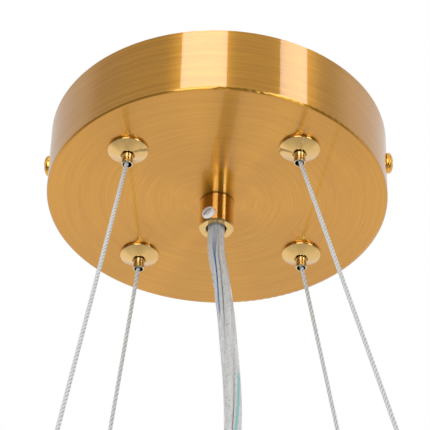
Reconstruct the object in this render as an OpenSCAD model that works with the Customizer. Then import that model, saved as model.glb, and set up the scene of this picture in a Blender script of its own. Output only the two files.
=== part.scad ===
// Ceiling canopy and four-wire suspension of a ring chandelier.
// Origin: centre of the ceiling plane. +Z up, +X along the two side screws, -Y is the front.

/* [Canopy cup] */
// Outer diameter of the cup
canopy_d = 120; // [110:1:160]
// Height from the ceiling to the cup's underside
canopy_h = 26.5; // [25:0.5:32]
// Sheet thickness of the cup
canopy_wall = 1; // [0.8:0.1:1.4]
// Radius of the outer lower edge
canopy_edge_r = 1; // [0.6:0.1:3]

/* [Ceiling bracket] */
// Width of the bracket's middle
bracket_w = 20; // [18:0.5:24]
// Sheet thickness of the bracket
bracket_t = 1.5; // [1.2:0.1:2]
// Width of the turned-down ends
bracket_leg_w = 14; // [10:0.5:18]
// Height of the turned-down ends
bracket_leg_h = 13; // [12:0.5:16]
// Radius of the bend between middle and end
bracket_bend_r = 2.5; // [2:0.1:3]
// Distance between the two ceiling slots
slot_spacing = 90; // [84:1:92]
// Length of a ceiling slot from end to end
slot_l = 14; // [8:0.5:16]
// Width of a ceiling slot
slot_w = 5; // [4:0.1:6]
// Diameter of the hole for the mains wires
wire_hole_d = 14; // [12:0.5:14]
// Outer diameter of the drawn boss round a tapped hole
boss_d = 7; // [6:0.1:8]
// Height of that boss below the sheet
boss_h = 2; // [1:0.1:3]

/* [Side screws] */
// Distance of the side screws below the ceiling
side_screw_drop = 9; // [7:0.1:10]
// Head diameter of a side screw
side_head_d = 7.4; // [6.5:0.1:8]
// Head height of a side screw
side_head_h = 2.4; // [2:0.1:2.8]
// Length of screw that stands out behind the bracket
side_screw_through = 5; // [2:0.5:6]

/* [Wire grippers] */
// Diameter of the circle that the four grippers stand on
gripper_pcd = 83; // [80:1:88]
// Diameter of the gripper's skirt
skirt_d = 14; // [13:0.1:16]
// Height of the skirt's upright edge
skirt_t = 0.8; // [0.6:0.1:1.5]
// Height of the cone under the skirt
cone_h = 1.9; // [1.4:0.1:3]
// Diameter at the cone's tip
nose_d = 5.4; // [5.2:0.1:6]
// Length of the threaded stem above the skirt
stem_l = 18; // [17:0.5:18.5]
// Bore that the plunger slides in
guide_d = 4.12; // [4.08:0.02:4.2]
// Top of the guide bore above the skirt's top
guide_top = 2.4; // [2:0.1:3]
// Slope of the ball cone to the axis
ball_cone_angle = 12; // [11:0.5:14]
// Bore of the spring chamber
chamber_d = 6.92; // [6.8:0.02:7.2]
// Height of the brass cap that closes the stem
cap_h = 2.5; // [2:0.1:3]
// Outer diameter of the plunger tube
plunger_d = 4; // [3.9:0.02:4]
// Bore of the plunger tube
plunger_bore_d = 1.9; // [1.8:0.02:2]
// Length of plunger that shows below the nose
plunger_out = 4.1; // [3:0.1:5]
// Push of the plunger that frees the wire
plunger_travel = 2; // [1:0.1:2.5]
// Diameter of the plunger's collar
collar_d = 6; // [5.6:0.1:6.2]
// Height of the plunger's collar
collar_h = 1.5; // [1:0.1:1.8]
// Diameter of a clamping ball
ball_d = 1.6; // [1.5:0.02:1.66]
// Wire diameter of the gripper spring
spring_wire_d = 0.4; // [0.3:0.02:0.5]
// Turns of the gripper spring
spring_turns = 5; // [4:1:6]

/* [Nuts and washers] */
// Outer diameter of the hollow pipe thread
pipe_thread_d = 10; // [9.5:0.1:10.5]
// Width across flats of the pipe nuts
nut_af = 14; // [13:0.5:15]
// Height of the pipe nuts
nut_h = 3; // [2.5:0.1:3.5]
// Diameter of the pipe washers
washer_d = 16; // [15:0.5:17]
// Thickness of the pipe washers
washer_t = 0.8; // [0.5:0.1:1]

/* [Suspension wires] */
// Diameter of a steel suspension wire
wire_d = 1.5; // [1.4:0.02:1.56]
// Length of the wire's tail inside the canopy
tail_l = 9; // [5:0.5:11]
// Diameter of the fitting at a wire's lower end
anchor_d = 8; // [7:0.1:10]
// Length of that fitting
anchor_l = 16; // [14:0.5:20]
// Depth of the threaded hole in that fitting
anchor_bore_l = 9; // [6:0.5:10]

/* [Cord grip] */
// Outer diameter of the cord grip
grip_d = 12; // [11.5:0.1:14]
// Length of the cord grip below the canopy
grip_l = 12; // [11.8:0.1:15]
// Depth of the cord grip's upper thread
grip_thread_l = 5.5; // [5:0.1:5.8]
// Thread of the nylon screw that holds the cord
grip_screw_d = 5; // [4:0.1:5]
// Height of the nylon screw above the grip's lower end
grip_screw_up = 3.2; // [3.1:0.1:3.6]
// Direction of the nylon screw about the axis
grip_screw_angle = -115; // [-180:5:180]
// Length of the nylon screw that stands out of the grip
grip_screw_out = 1.2; // [0.4:0.1:1.6]
// Turn of its slot in degrees
grip_screw_slot_turn = 125; // [0:5:175]
// Diameter of the supply cord
cord_d = 6; // [5.6:0.1:6.2]
// Bore of the cord grip and of the hollow nipple
cord_bore_d = 7; // [6.4:0.1:7.4]
// Length of the nipple above the nut
nipple_over = 2.2; // [1:0.1:2.4]
// Length of cord sheath above the nipple
sheath_over = 1.5; // [0.5:0.1:2]
// Diameter of one insulated core
core_d = 1.8; // [1.6:0.02:1.9]

/* [Terminal block] */
// Length of the block along its sleeves
block_l = 16; // [14:0.5:17]
// Width of the block
block_w = 19; // [18:0.5:22]
// Height of the block
block_h = 10.5; // [9.5:0.1:11.5]
// Distance between the two poles
pole_pitch = 9; // [8.6:0.1:10]
// Distance of the sleeves below the bracket
pole_drop = 5.5; // [5:0.1:5.6]
// Outer diameter of a brass sleeve
sleeve_d = 4.8; // [4.4:0.1:4.9]
// Bore of a brass sleeve
sleeve_bore_d = 2.8; // [2.5:0.1:3]
// Head diameter of a terminal screw
terminal_head_d = 3.8; // [3.4:0.1:4]
// Head height of a terminal screw
terminal_head_h = 1.2; // [0.8:0.1:1.3]
// Head diameter of the screw that holds the block
fixing_head_d = 5.6; // [5:0.1:5.8]
// Head height of the screw that holds the block
fixing_head_h = 1.8; // [1.4:0.1:2]

/* [Earth terminal] */
// Distance of the earth screw from the middle
earth_x = 24; // [23:0.5:26]
// Width of the cable lug's ring
lug_ring_d = 8; // [7:0.1:9]
// Sheet thickness of the cable lug
lug_t = 0.8; // [0.5:0.1:1]
// Length of the cable lug's barrel
lug_barrel_l = 5; // [4:0.5:6]
// Diameter of the cable lug's barrel
lug_barrel_d = 3.2; // [2.8:0.1:3.6]

/* [Lamp connector] */
// Diameter of the connector on the cord's lower end
connector_d = 16; // [14:0.5:20]
// Length of that connector
connector_l = 24; // [20:0.5:30]
// Diameter of its neck round the cord
connector_neck_d = 8; // [7.5:0.1:10]
// Length of neck and shoulder
connector_shoulder_l = 8; // [6:0.5:9]
// Radius that its three contacts stand on
contact_r = 3.6; // [3.2:0.1:4]
// Outer diameter of a contact tube
contact_d = 2.8; // [2.6:0.1:3]
// Bore of a contact tube
contact_bore_d = 1.6; // [1.4:0.1:2]
// Length of a contact tube
contact_l = 11; // [8:0.5:11]

/* [Screws and clearances] */
// Thread of the side screws and the earth screw
screw_d = 4; // [3.8:0.1:4.2]
// Thread of the terminal screws
small_screw_d = 3; // [2.8:0.1:3.2]
// Tapping drill of an M4 hole left open
open_thread_d = 3.3; // [3.2:0.02:3.4]
// Radial gap between a thread and its hole
thread_gap = 0.03; // [0.01:0.01:0.05]
// Radial gap round a screw or stem in a plain hole
hole_gap = 0.1; // [0.05:0.05:0.2]
// Gap between pieces that touch but aren't clamped
touch_gap = 0.03; // [0.02:0.01:0.05]

/* [Hidden] */
$fn = 64;
floor_z = -canopy_h;
floor_top = floor_z + canopy_wall;
canopy_r = canopy_d / 2;
inner_r = canopy_r - canopy_wall;
stem_r = pipe_thread_d / 2 - thread_gap;
pipe_hole_r = pipe_thread_d / 2 + hole_gap;
screw_r = screw_d / 2 - thread_gap;
small_screw_r = small_screw_d / 2 - thread_gap;

// The bracket's ends stand just inside the cup, clear of it at their corners
leg_gap = 0.2;
leg_out = sqrt(pow(inner_r, 2) - pow(bracket_leg_w / 2, 2)) - leg_gap;
side_screw_l = canopy_r - leg_out + bracket_t + side_screw_through;

// Corner names, signs and the slope of each wire per millimetre of drop
corner_names = ["front_left", "front_right", "rear_left", "rear_right"];
corner_signs = [[-1, -1], [1, -1], [-1, 1], [1, 1]];
wire_leans = [[-0.09, -0.26], [0.215, -0.26], [-0.14, 0.26], [0.205, 0.26]];
wire_low_z = -200;
gripper_xy = gripper_pcd / 2 / sqrt(2);

// Gripper heights, measured from the cup's underside
nose_z = -skirt_t - cone_h;
mouth_z = nose_z - plunger_out;
counterbore_d = nose_d - 0.5;
counterbore_l = 1.2;
cap_seat = stem_l - cap_h;
cap_d = chamber_d + 0.9;
cone_top = guide_top + (chamber_d - guide_d) / 2 / tan(ball_cone_angle);
ball_ring_r = wire_d / 2 + touch_gap + ball_d / 2;
ball_cone_r = ball_ring_r + (ball_d / 2 + touch_gap) / cos(ball_cone_angle);
ball_z = guide_top + (ball_cone_r - guide_d / 2) / tan(ball_cone_angle);
ball_hole_gap = 0.05;
collar_top = cone_top + 0.5;
spring_room = 0.05;
spring_mean_r = collar_d / 2 - spring_wire_d / 2 - 0.25;
flare_d = plunger_d - 0.9;
flare_l = 2.5;
cap_bore_d = wire_d + 0.5;

// The wire leaves the cap in one bend and the plunger's mouth in another
tail_bend_r = 4;
mouth_bend_r = 6;
tail_z = stem_l + 0.5;
mouth_bend_z = mouth_z + flare_l;

// Cord grip and nipple
nipple_low = floor_z - grip_thread_l + 0.2;
nipple_top = floor_top + washer_t + nut_h + nipple_over;
sheath_top = nipple_top + sheath_over;
grip_low = floor_z - grip_l;
grip_screw_z = grip_low + grip_screw_up;

// Terminal block
block_x = wire_hole_d / 2 + 1;
block_mid_x = block_x + block_l / 2;
block_low = -bracket_t - block_h;
pole_z = -bracket_t - pole_drop;
sleeve_l = block_l - 2;
terminal_screw_in = 4;
terminal_screw_l = 3.1;
fixing_recess_l = fixing_head_h + 0.3;

// Lamp connector: its contacts sit back from the end face
contact_in = 1;

// Earth terminal
boss_low = -bracket_t - boss_h;
lug_z = boss_low - lug_t;
lug_barrel_z = boss_low - lug_barrel_d / 2;
lug_barrel_x = -earth_x + lug_ring_d / 2 + 1.5;
earth_washer_t = 0.6;

// Routes of the three cores from the sheath's end, and of the free supply cord
live_route = [
    [0.7, 1.2, sheath_top], [0.8, 1.4, -14], [1.6, 2.1, -11], [3.3, 3.1, -8.6], [5.6, 4, -7.3],
    [block_x, pole_pitch / 2, pole_z], [block_x + 4.6, pole_pitch / 2, pole_z]
];
neutral_route = [for (p = live_route) [p.x, -p.y, p.z]];
earth_route = [
    [-1.4, 0, sheath_top], [-1.6, 0, -14], [-2.8, 0, -10.4], [-5, 0, -7.6], [-8.2, 0, -5.8],
    [lug_barrel_x + lug_barrel_l, 0, lug_barrel_z], [lug_barrel_x + 0.8, 0, lug_barrel_z]
];
cord_route = [
    [0, 0, grip_low], [0, 0, -43.5], [0.5, 0, -50.5], [1.9, 0, -58.5], [3.1, 0, -67.5], [4.3, 0, -77.5],
    [5.3, 0, -88.5], [6.3, 0, -99.5], [7, 0, -110.5], [7.3, 0, -122.5], [7.5, 0, -134.5],
    [7.6, 0, -147.5], [7.6, 0, -160.5], [7.5, 0, -175], [7.5, 0, -190]
];

// Colours
satin_brass = "#cb9d58";
polished_brass = "#dcbd80";
zinc = "#b8bcc2";
steel = "#a9adb3";
nylon = "#eef1f4";
clear_pvc = "#c9d2da";

function corner_pieces(c) = [for (n = [
    "gripper_body", "gripper_nut", "gripper_cap", "gripper_plunger", "gripper_balls", "gripper_spring",
    "wire_in_gripper", "suspension_wire", "wire_anchor"
]) str(corner_names[c], "_", n)];

// Vector and route helpers
function unit(v) = v / norm(v);
function tangent(p, i) = unit(p[min(i + 1, len(p) - 1)] - p[max(i - 1, 0)]);
function any_side(t) = unit(cross(abs(t.z) < 0.9 ? [0, 0, 1] : [1, 0, 0], t));
function carried_side(n, t) = unit(n - t * (n * t));
function sides_along(p, i = 0, n = undef) =
    i == len(p) ? [] :
    let(t = tangent(p, i), m = is_undef(n) ? any_side(t) : carried_side(n, t))
    concat([m], sides_along(p, i + 1, m));

// Round tube of diameter d swept along the points p
module tube(p, d, sides) {
    n = sides_along(p);
    last = (len(p) - 1) * sides;
    points = [for (i = [0 : len(p) - 1], k = [0 : sides - 1])
        let(a = 360 * k / sides, across = cross(tangent(p, i), n[i]))
        p[i] + d / 2 * (cos(a) * n[i] + sin(a) * across)];
    walls = [for (i = [0 : len(p) - 2], k = [0 : sides - 1])
        let(a = i * sides + k, b = i * sides + (k + 1) % sides)
        each [[a, a + sides, b], [b, a + sides, b + sides]]];
    start_cap = [for (k = [1 : sides - 2]) [0, k, k + 1]];
    end_cap = [for (k = [1 : sides - 2]) [last, last + k + 1, last + k]];
    polyhedron(points, concat(walls, start_cap, end_cap), convexity = 6);
}

// Direction, tilt and turn of a wire from its slope
function lean_tilt(lean) = atan(norm(lean));
function lean_turn(lean) = atan2(lean.y, lean.x);
function mouth_bend(lean, share) =
    let(a = lean_tilt(lean) * share, out = mouth_bend_r * (1 - cos(a)))
    [out * cos(lean_turn(lean)), out * sin(lean_turn(lean)), mouth_bend_z - mouth_bend_r * sin(a)];
function corner_at(c) = [corner_signs[c].x * gripper_xy, corner_signs[c].y * gripper_xy, floor_z];
function wire_top(c) = corner_at(c) + mouth_bend(wire_leans[c], 1);
function wire_low(c) =
    let(drop = wire_top(c).z - wire_low_z)
    wire_top(c) + [wire_leans[c].x * drop, wire_leans[c].y * drop, -drop];

// Repeated shapes
module ring(outer_d, inner_d, h) {
    difference() {
        cylinder(h = h, d = outer_d);
        translate([0, 0, -1]) cylinder(h = h + 2, d = inner_d);
    }
}

module hex_nut(af, h, bore_d) {
    corner_r = af / 2 / cos(30);
    edge = (corner_r - af / 2) * tan(30);
    difference() {
        intersection() {
            cylinder(h = h, r = corner_r, $fn = 6);
            rotate_extrude() polygon([
                [0, 0], [af / 2, 0], [corner_r, edge], [corner_r, h - edge], [af / 2, h], [0, h]
            ]);
        }
        translate([0, 0, -1]) cylinder(h = h + 2, d = bore_d);
    }
}

module cross_recess(across, depth) {
    for (a = [45, 135]) rotate([0, 0, a]) translate([-across / 2, -across / 8, -depth])
        cube([across, across / 4, depth + 1]);
}

module slot_recess(across, width, depth) {
    translate([-across / 2, -width / 2, -depth]) cube([across, width, depth + 1]);
}

// Screw with a domed head above z = 0 and its shank below
module domed_screw(head_d, head_h, shank_r, shank_l) {
    rim_h = head_h / 3;
    difference() {
        union() {
            rotate_extrude() polygon(concat(
                [[0, 0], [head_d / 2, 0], [head_d / 2, rim_h]],
                [for (a = [15 : 15 : 90]) [head_d / 2 * cos(a), rim_h + (head_h - rim_h) * sin(a)]]
            ));
            translate([0, 0, -shank_l]) cylinder(h = shank_l + 0.1, r = shank_r);
        }
        translate([0, 0, head_h]) cross_recess(head_d * 0.6, head_h * 0.55);
    }
}

// Screw with a flat round head above z = 0, a slot, and its shank below
module cheese_screw(head_d, head_h, shank_r, shank_l) {
    difference() {
        union() {
            cylinder(h = head_h, d = head_d);
            translate([0, 0, -shank_l]) cylinder(h = shank_l + 0.1, r = shank_r);
        }
        translate([0, 0, head_h]) slot_recess(head_d + 1, head_d / 6, head_h * 0.6);
    }
}

// Canopy
module cup_outline(r, h, edge) {
    square([r - edge, h]);
    translate([0, edge]) square([r, h - edge]);
    translate([r - edge, edge]) circle(edge);
}

module canopy_cup() {
    inner_edge = max(canopy_edge_r - canopy_wall, 0.2);
    color(satin_brass) difference() {
        translate([0, 0, floor_z]) rotate_extrude($fn = 128) difference() {
            cup_outline(canopy_r, canopy_h, canopy_edge_r);
            translate([0, canopy_wall]) cup_outline(inner_r, canopy_h, inner_edge);
        }
        translate([0, 0, floor_z - 1]) cylinder(h = canopy_wall + 2, r = pipe_hole_r);
        for (c = [0 : 3]) translate(corner_at(c) - [0, 0, 1])
            cylinder(h = canopy_wall + 2, r = pipe_hole_r);
        for (a = [0, 180]) rotate([0, 0, a]) translate([inner_r - 2, 0, -side_screw_drop])
            rotate([0, 90, 0]) cylinder(h = canopy_wall + 4, d = screw_d + 2 * hole_gap);
    }
}

module bracket_slot() {
    run = slot_l - slot_w;
    translate([-run / 2, -slot_w / 2, -bracket_t - 1]) cube([run, slot_w, bracket_t + 2]);
    for (s = [-1, 1]) translate([s * run / 2, 0, -bracket_t - 1]) cylinder(h = bracket_t + 2, d = slot_w);
}

module bracket_side_outline() {
    inner = bracket_bend_r - bracket_t;
    difference() {
        union() {
            translate([-leg_out, -bracket_leg_h]) square([2 * leg_out, bracket_leg_h - bracket_bend_r]);
            translate([-leg_out + bracket_bend_r, -bracket_bend_r - 0.1])
                square([2 * (leg_out - bracket_bend_r), bracket_bend_r + 0.1]);
            for (s = [-1, 1]) translate([s * (leg_out - bracket_bend_r), -bracket_bend_r])
                circle(bracket_bend_r);
        }
        translate([-leg_out + bracket_t, -bracket_leg_h - 1])
            square([2 * (leg_out - bracket_t), bracket_leg_h + 1 - bracket_bend_r]);
        translate([-leg_out + bracket_bend_r, -bracket_bend_r - 0.1])
            square([2 * (leg_out - bracket_bend_r), bracket_bend_r + 0.1 - bracket_t]);
        for (s = [-1, 1]) translate([s * (leg_out - bracket_bend_r), -bracket_bend_r]) circle(inner);
    }
}

module ceiling_bracket() {
    middle_l = 2 * (leg_out - bracket_bend_r - 4);
    color(zinc) difference() {
        union() {
            translate([0, bracket_leg_w / 2, 0]) rotate([90, 0, 0])
                linear_extrude(height = bracket_leg_w) bracket_side_outline();
            translate([-middle_l / 2, -bracket_w / 2, -bracket_t]) cube([middle_l, bracket_w, bracket_t]);
            translate([-earth_x, 0, boss_low]) cylinder(h = boss_h + 0.5, d = boss_d);
        }
        for (s = [-1, 1]) translate([s * slot_spacing / 2, 0, 0]) bracket_slot();
        translate([0, 0, -bracket_t - 1]) cylinder(h = bracket_t + 2, d = wire_hole_d);
        translate([-earth_x, 0, boss_low - 1]) cylinder(h = boss_h + bracket_t + 2, d = screw_d);
        translate([block_mid_x, 0, -bracket_t - 1]) cylinder(h = bracket_t + 2, d = small_screw_d);
        for (a = [0, 180]) rotate([0, 0, a]) translate([leg_out - bracket_t - 1, 0, -side_screw_drop])
            rotate([0, 90, 0]) cylinder(h = bracket_t + 2, d = screw_d);
    }
}

module side_screw(side) {
    color(polished_brass) translate([side * canopy_r, 0, -side_screw_drop]) rotate([0, side * 90, 0])
        domed_screw(side_head_d, side_head_h, screw_r, side_screw_l);
}

module gripper_washers() {
    color(zinc) for (c = [0 : 3]) translate(corner_at(c) + [0, 0, canopy_wall])
        ring(washer_d, 2 * pipe_hole_r, washer_t);
}

// Gripper pieces, each with z = 0 at the cup's underside
module gripper_body() {
    skirt_r = skirt_d / 2;
    edge = 0.2;
    color(polished_brass) rotate_extrude() polygon([
        [stem_r, stem_l], [stem_r, 0], [skirt_r, 0], [skirt_r, -skirt_t + edge], [skirt_r - edge, -skirt_t],
        [nose_d / 2, nose_z], [counterbore_d / 2, nose_z], [counterbore_d / 2, nose_z + counterbore_l],
        [guide_d / 2, nose_z + counterbore_l], [guide_d / 2, guide_top], [chamber_d / 2, cone_top],
        [chamber_d / 2, cap_seat], [cap_d / 2, cap_seat], [cap_d / 2, stem_l]
    ]);
}

module gripper_nut() {
    color(zinc) translate([0, 0, canopy_wall + washer_t]) hex_nut(nut_af, nut_h, pipe_thread_d);
}

module gripper_cap() {
    color(polished_brass) translate([0, 0, cap_seat]) ring(cap_d - 2 * touch_gap, cap_bore_d, cap_h);
}

module gripper_plunger() {
    edge = 0.2;
    color(polished_brass) difference() {
        rotate_extrude() polygon([
            [flare_d / 2, mouth_z], [plunger_d / 2 - edge, mouth_z], [plunger_d / 2, mouth_z + edge],
            [plunger_d / 2, collar_top - collar_h], [collar_d / 2, collar_top - collar_h],
            [collar_d / 2, collar_top], [plunger_bore_d / 2, collar_top],
            [plunger_bore_d / 2, mouth_z + flare_l]
        ]);
        for (a = [0 : 120 : 240]) rotate([0, 0, a]) translate([0, 0, ball_z]) rotate([0, 90, 0])
            cylinder(h = plunger_d, d = ball_d + 2 * ball_hole_gap);
    }
}

module gripper_balls() {
    color(steel) for (a = [0 : 120 : 240]) rotate([0, 0, a]) translate([ball_ring_r, 0, ball_z])
        sphere(d = ball_d);
}

// Spring between the plunger's collar and the cap, 8 points to a turn
spring_low = collar_top + spring_wire_d / 2 + spring_room;
spring_rise = cap_seat - spring_wire_d / 2 - spring_room - spring_low;
spring_steps = 8 * spring_turns;
spring_points = [for (i = [0 : spring_steps])
    [spring_mean_r * cos(45 * i), spring_mean_r * sin(45 * i), spring_low + spring_rise * i / spring_steps]];
spring_self_gap = min([for (i = [0 : spring_steps - 6], j = [i + 6 : min(i + 10, spring_steps)])
    norm(spring_points[i] - spring_points[j])]) - spring_wire_d;
echo(spring_self_gap = spring_self_gap);

module gripper_spring() {
    color(steel) tube(spring_points, spring_wire_d, 6);
}

module wire_in_gripper(c) {
    out = corner_signs[c].y;
    tip = [0, out * (tail_bend_r + tail_l), tail_z + tail_bend_r];
    upper = [for (a = [90 : -30 : 0]) [0, out * tail_bend_r * (1 - cos(a)), tail_z + tail_bend_r * sin(a)]];
    lower = [for (s = [0, 0.5, 1]) mouth_bend(wire_leans[c], s)];
    color(steel) tube(concat([tip], upper, lower), wire_d, 8);
}

module suspension_wire(c) {
    color(steel) tube([for (s = [0, 0.5, 1]) wire_top(c) * (1 - s) + wire_low(c) * s], wire_d, 8);
}

module wire_anchor(c) {
    lean = wire_leans[c];
    r = anchor_d / 2;
    color(polished_brass) translate(wire_low(c)) rotate([0, 180 - lean_tilt(lean), lean_turn(lean)])
        difference() {
            rotate_extrude() polygon([
                [0, 0], [r - 2, 0], [r, 3], [r, anchor_l - 0.6], [r - 0.6, anchor_l], [0, anchor_l]
            ]);
            translate([0, 0, anchor_l - anchor_bore_l]) cylinder(h = anchor_bore_l + 1, d = open_thread_d);
        }
}

module corner_piece(c, piece) {
    if (piece == "suspension_wire") suspension_wire(c);
    else if (piece == "wire_anchor") wire_anchor(c);
    else translate(corner_at(c)) {
        if (piece == "gripper_body") gripper_body();
        if (piece == "gripper_nut") gripper_nut();
        if (piece == "gripper_cap") gripper_cap();
        if (piece == "gripper_plunger") gripper_plunger();
        if (piece == "gripper_balls") gripper_balls();
        if (piece == "gripper_spring") gripper_spring();
        if (piece == "wire_in_gripper") wire_in_gripper(c);
    }
}

// Cord grip
module cord_grip_body() {
    r = grip_d / 2;
    edge = 0.3;
    color(polished_brass) difference() {
        translate([0, 0, grip_low]) rotate_extrude() polygon([
            [0, 0], [r - edge, 0], [r, edge], [r, grip_l - edge], [r - edge, grip_l], [0, grip_l]
        ]);
        translate([0, 0, grip_low - 1]) cylinder(h = grip_l + 2, d = cord_bore_d);
        translate([0, 0, grip_low]) cylinder(h = edge, r1 = cord_bore_d / 2 + edge, r2 = cord_bore_d / 2);
        translate([0, 0, floor_z - grip_thread_l]) cylinder(h = grip_thread_l + 1, d = pipe_thread_d);
        rotate([0, 0, grip_screw_angle]) translate([0, 0, grip_screw_z]) rotate([0, 90, 0])
            cylinder(h = grip_d, d = grip_screw_d);
    }
}

module cord_grip_screw() {
    tip = cord_d / 2 + touch_gap;
    l = grip_d / 2 + grip_screw_out - tip;
    r = grip_screw_d / 2 - thread_gap;
    edge = 0.3;
    color(nylon) rotate([0, 0, grip_screw_angle]) translate([tip, 0, grip_screw_z]) rotate([0, 90, 0])
        difference() {
            union() {
                cylinder(h = l - edge, r = r);
                translate([0, 0, l - edge]) cylinder(h = edge, r1 = r, r2 = r - edge);
            }
            translate([0, 0, l]) rotate([0, 0, grip_screw_slot_turn]) slot_recess(2 * r + 1, r / 4, 0.9);
        }
}

module cord_nipple() {
    color(zinc) translate([0, 0, nipple_low]) ring(2 * stem_r, cord_bore_d, nipple_top - nipple_low);
}

module nipple_washer() {
    color(zinc) translate([0, 0, floor_top]) ring(washer_d, 2 * pipe_hole_r, washer_t);
}

module nipple_locknut() {
    color(zinc) translate([0, 0, floor_top + washer_t]) hex_nut(nut_af, nut_h, pipe_thread_d);
}

module supply_cord() {
    color(clear_pvc) tube(cord_route, cord_d, 10);
}

module cord_in_grip() {
    color(clear_pvc) translate([0, 0, grip_low]) cylinder(h = sheath_top - grip_low, d = cord_d);
}

// Terminal block for live and neutral
module at_poles() {
    for (s = [-1, 1]) translate([block_x, s * pole_pitch / 2, pole_z]) rotate([0, 90, 0]) children();
}

module at_terminal_screws() {
    for (x = [terminal_screw_in, block_l - terminal_screw_in], s = [-1, 1])
        translate([block_x + x, s * pole_pitch / 2, 0]) children();
}

module terminal_housing() {
    color("white") difference() {
        translate([block_x, -block_w / 2, block_low]) cube([block_l, block_w, block_h]);
        at_poles() translate([0, 0, -1]) cylinder(h = block_l + 2, d = sleeve_d + 2 * touch_gap);
        at_terminal_screws() translate([0, 0, block_low - 1])
            cylinder(h = pole_z - block_low + 1, d = terminal_head_d + 4 * hole_gap);
        translate([block_mid_x, 0, block_low - 1]) {
            cylinder(h = block_h + 2, d = small_screw_d + 2 * hole_gap);
            cylinder(h = fixing_recess_l + 1, d = fixing_head_d + 4 * hole_gap);
        }
    }
}

module terminal_sleeves() {
    color(polished_brass) difference() {
        at_poles() translate([0, 0, (block_l - sleeve_l) / 2]) ring(sleeve_d, sleeve_bore_d, sleeve_l);
        at_terminal_screws() translate([0, 0, pole_z - sleeve_d])
            cylinder(h = sleeve_d, d = small_screw_d);
    }
}

module terminal_screws() {
    tip_z = pole_z - core_d / 2 - touch_gap;
    color(zinc) at_terminal_screws() translate([0, 0, tip_z - terminal_screw_l]) rotate([180, 0, 0])
        cheese_screw(terminal_head_d, terminal_head_h, small_screw_r, terminal_screw_l);
}

module terminal_fixing_screw() {
    recess_z = block_low + fixing_recess_l;
    color(zinc) translate([block_mid_x, 0, recess_z]) rotate([180, 0, 0])
        cheese_screw(fixing_head_d, fixing_head_h, small_screw_r, -recess_z - 0.2);
}

// Earth terminal
module earth_lug() {
    tongue_w = lug_barrel_d - 0.4;
    color(zinc) difference() {
        union() {
            translate([-earth_x, 0, lug_z]) cylinder(h = lug_t, d = lug_ring_d);
            translate([-earth_x, -tongue_w / 2, lug_z])
                cube([earth_x + lug_barrel_x + 0.5, tongue_w, lug_t]);
            translate([lug_barrel_x, 0, lug_barrel_z]) rotate([0, 90, 0])
                cylinder(h = lug_barrel_l, d = lug_barrel_d);
        }
        translate([-earth_x, 0, lug_z - 1]) cylinder(h = lug_t + 2, d = screw_d + 2 * hole_gap);
        translate([lug_barrel_x + 0.7, 0, lug_barrel_z]) rotate([0, 90, 0])
            cylinder(h = lug_barrel_l, d = core_d + 2 * touch_gap);
    }
}

module earth_washer() {
    color(zinc) translate([-earth_x, 0, lug_z - earth_washer_t])
        ring(lug_ring_d, screw_d + 2 * hole_gap, earth_washer_t);
}

module earth_screw() {
    seat = lug_z - earth_washer_t;
    color(zinc) translate([-earth_x, 0, seat]) rotate([180, 0, 0])
        domed_screw(lug_ring_d - 1, side_head_h, screw_r, -seat - 0.3);
}

// Connector on the cord's lower end
cord_low = cord_route[len(cord_route) - 1];

module at_contacts() {
    translate(cord_low) for (a = [90 : 120 : 330]) rotate([0, 0, a])
        translate([contact_r, 0, -connector_l]) children();
}

module lamp_connector_body() {
    r = connector_d / 2;
    neck_r = connector_neck_d / 2;
    shoulder = connector_shoulder_l;
    edge = 0.6;
    color("white") difference() {
        translate(cord_low) rotate_extrude() polygon([
            [0, 0], [neck_r, 0], [neck_r + edge, -shoulder / 2], [r, -shoulder],
            [r, -connector_l + edge], [r - edge, -connector_l], [0, -connector_l]
        ]);
        at_contacts() translate([0, 0, -1])
            cylinder(h = contact_l + contact_in + 1, d = contact_d + 2 * touch_gap);
    }
}

module lamp_connector_contacts() {
    color(polished_brass) at_contacts() translate([0, 0, contact_in])
        ring(contact_d, contact_bore_d, contact_l);
}

canopy_cup();
ceiling_bracket();
side_screw(-1);  // side_screw_left
side_screw(1);  // side_screw_right
gripper_washers();
cord_grip_body();
cord_grip_screw();
cord_nipple();
nipple_washer();
nipple_locknut();
supply_cord();
cord_in_grip();
color("sienna") tube(live_route, core_d, 8);  // live_core
color("steelblue") tube(neutral_route, core_d, 8);  // neutral_core
color("yellowgreen") tube(earth_route, core_d, 8);  // earth_core
terminal_housing();
terminal_sleeves();
terminal_screws();
terminal_fixing_screw();
earth_lug();
earth_washer();
earth_screw();
lamp_connector_body();
lamp_connector_contacts();
for (c = [0 : 3], piece = [
    "gripper_body", "gripper_nut", "gripper_cap", "gripper_plunger", "gripper_balls", "gripper_spring",
    "wire_in_gripper", "suspension_wire", "wire_anchor"
])
    corner_piece(c, piece);
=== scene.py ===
import math

import bmesh
import bpy
from mathutils import Matrix, Vector


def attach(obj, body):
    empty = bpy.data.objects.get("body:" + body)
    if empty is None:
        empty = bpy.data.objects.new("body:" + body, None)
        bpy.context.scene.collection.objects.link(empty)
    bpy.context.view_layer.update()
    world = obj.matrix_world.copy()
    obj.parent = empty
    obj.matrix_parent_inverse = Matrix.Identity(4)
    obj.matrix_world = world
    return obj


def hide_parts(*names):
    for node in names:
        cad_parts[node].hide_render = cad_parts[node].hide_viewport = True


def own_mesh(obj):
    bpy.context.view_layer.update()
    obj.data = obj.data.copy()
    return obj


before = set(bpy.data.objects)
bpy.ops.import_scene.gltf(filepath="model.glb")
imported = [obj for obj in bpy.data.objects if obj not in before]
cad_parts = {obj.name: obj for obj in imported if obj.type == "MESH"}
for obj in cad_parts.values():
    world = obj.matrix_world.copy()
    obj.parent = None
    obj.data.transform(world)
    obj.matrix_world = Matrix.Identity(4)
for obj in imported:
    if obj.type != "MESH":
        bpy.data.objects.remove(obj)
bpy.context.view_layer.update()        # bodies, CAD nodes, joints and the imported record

scene = bpy.context.scene
mm = 0.001
turn = 2 * math.pi
print("frame loaded:", len(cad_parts), "nodes")

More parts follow.
